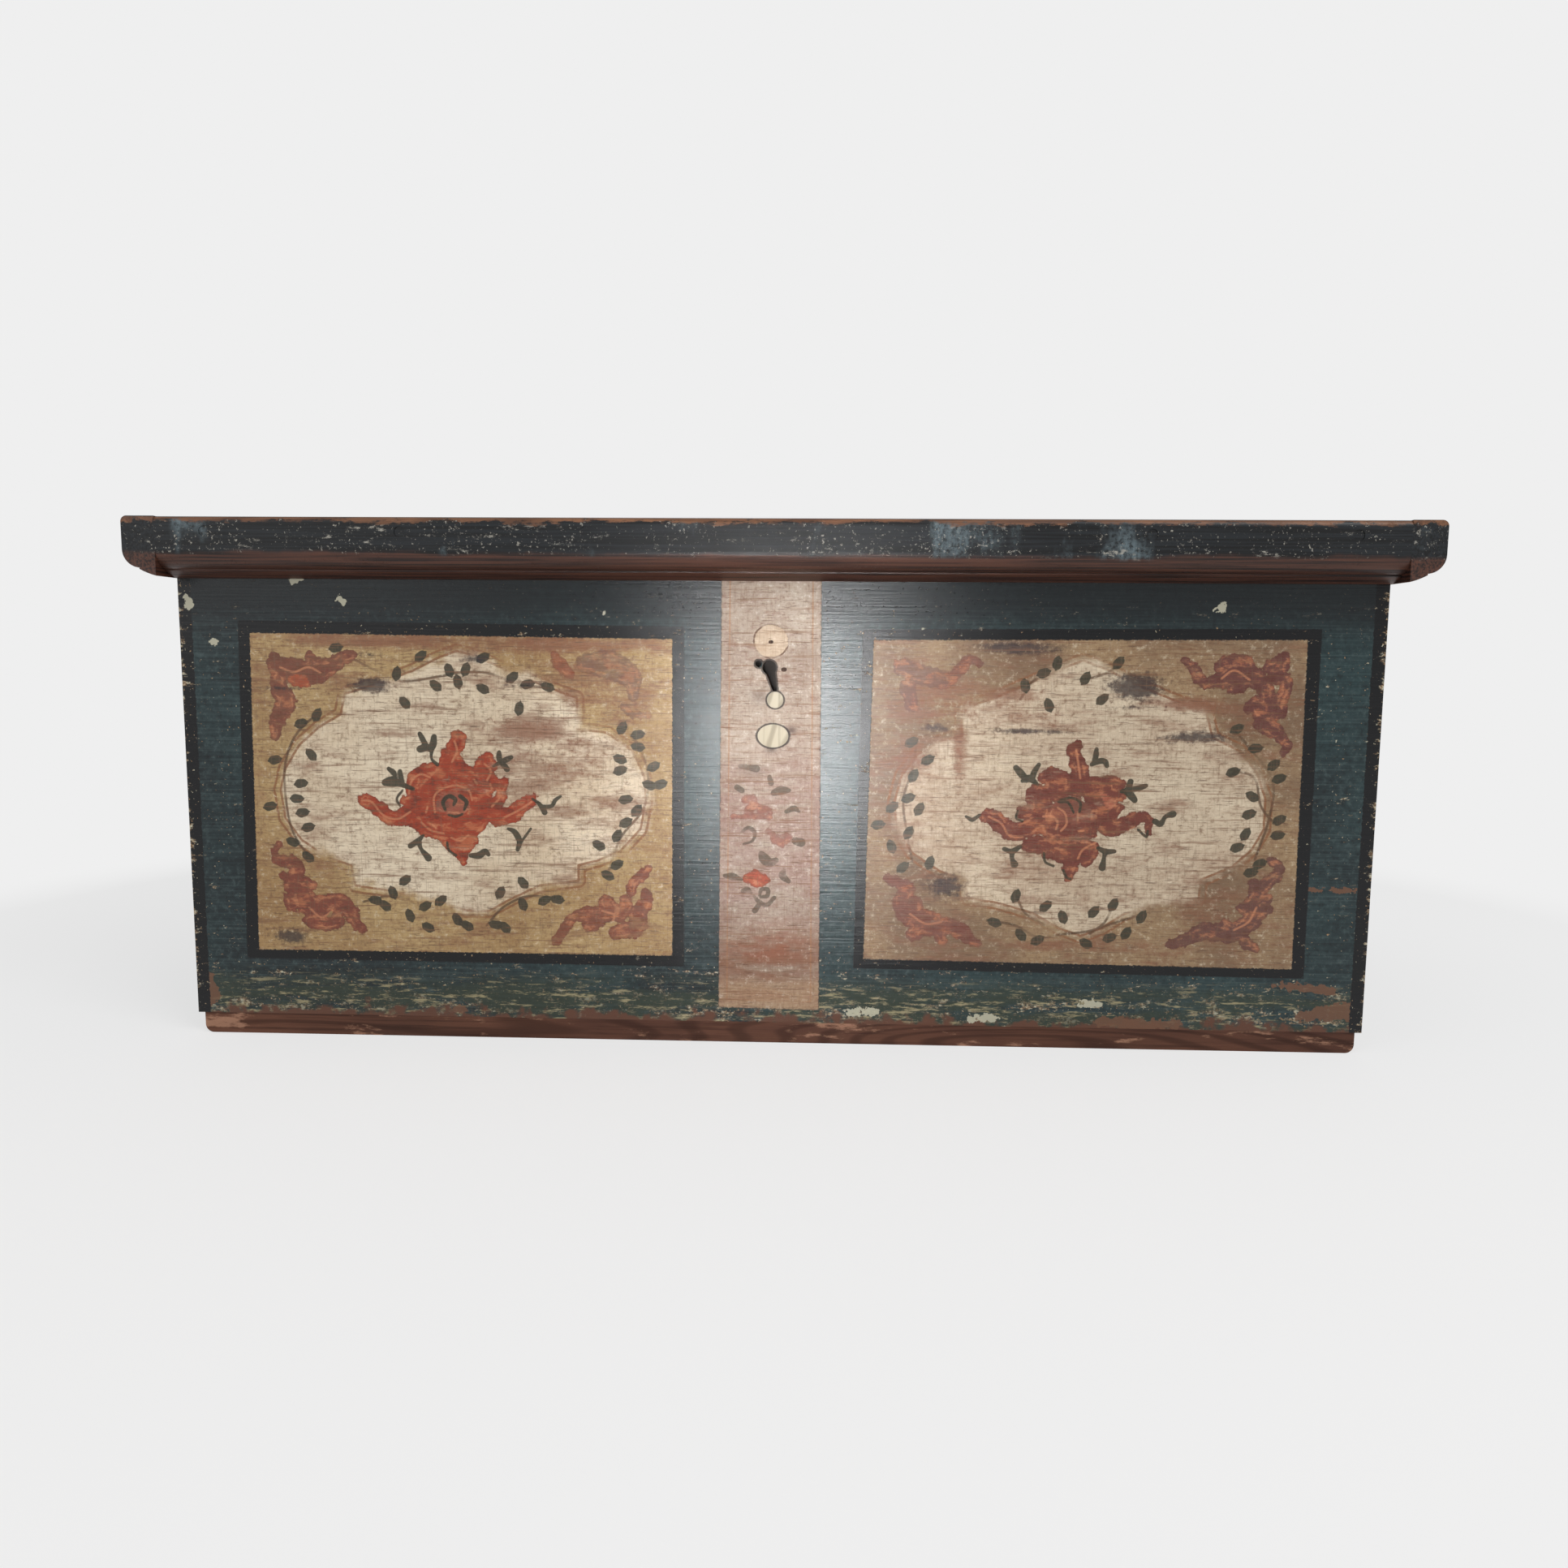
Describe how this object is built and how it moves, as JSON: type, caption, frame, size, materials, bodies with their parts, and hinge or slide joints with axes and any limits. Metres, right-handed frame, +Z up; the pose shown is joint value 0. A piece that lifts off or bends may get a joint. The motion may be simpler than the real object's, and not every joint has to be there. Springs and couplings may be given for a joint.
{
  "type": "painted blanket chest",
  "caption": "Low dovetailed softwood chest with a moulded overhanging lid on strap hinges, a box lock behind the front and folk-painted panels of scrollwork.",
  "frame": {"origin": "on the floor under the middle of the chest's overall box", "axes": "+X along the front to the right as seen from the front, +Y from the front to the back, +Z up"},
  "size_m": [1.3, 0.592, 0.541],
  "materials": {
    "painted_front": "worn teal distemper paint with folk ornament",
    "painted_sides": "worn teal paint",
    "painted_moulding": "flaking blue-black paint",
    "painted_lid": "worn dark paint",
    "bare_pine": "bare aged softwood",
    "plug_wood": "pale wood plug",
    "wrought_iron": "forged, dark",
    "nail_iron": "forged, rusty"
  },
  "bodies": {
    "carcass": {"front_board": "painted_front", "back_board": "bare_pine", "left_side_board": "painted_sides", "right_side_board": "painted_sides", "bottom_plank_front": "bare_pine", "bottom_plank_middle": "bare_pine", "bottom_plank_rear": "bare_pine", "bottom_nails": "nail_iron", "old_lock_plug_round": "plug_wood", "old_lock_plug_oval": "plug_wood", "lock_plate": "wrought_iron", "lock_plate_nails": "nail_iron", "lock_case": "wrought_iron", "lock_bolt_guides": "wrought_iron", "lock_key_post": "wrought_iron", "hinge_leaf_left": "wrought_iron", "hinge_leaf_right": "wrought_iron", "hinge_leaf_nails": "nail_iron", "hinge_pin_left": "wrought_iron", "hinge_pin_right": "wrought_iron"},
    "lid": {"lid_plank_front": "painted_lid", "lid_plank_rear": "painted_lid", "lid_front_moulding": "painted_moulding", "lid_left_cleat": "painted_moulding", "lid_right_cleat": "painted_moulding", "front_moulding_nails": "nail_iron", "left_cleat_nails": "nail_iron", "right_cleat_nails": "nail_iron", "hinge_strap_left": "wrought_iron", "hinge_strap_right": "wrought_iron", "hinge_strap_nails": "nail_iron", "lock_staple": "wrought_iron", "staple_nails": "nail_iron"},
    "lock_bolt": {"lock_bolt": "wrought_iron"}
  },
  "joints": [
    {"name": "lid_hinge", "type": "hinge", "parent": "carcass", "child": "lid", "pos_m": [0, 0.288, 0.503], "axis": [-1, 0, 0], "range_deg": [0, 100]},
    {"name": "bolt_throw", "type": "slide", "parent": "carcass", "child": "lock_bolt", "axis": [-1, 0, 0], "range_m": [0, 0.014]}
  ]
}
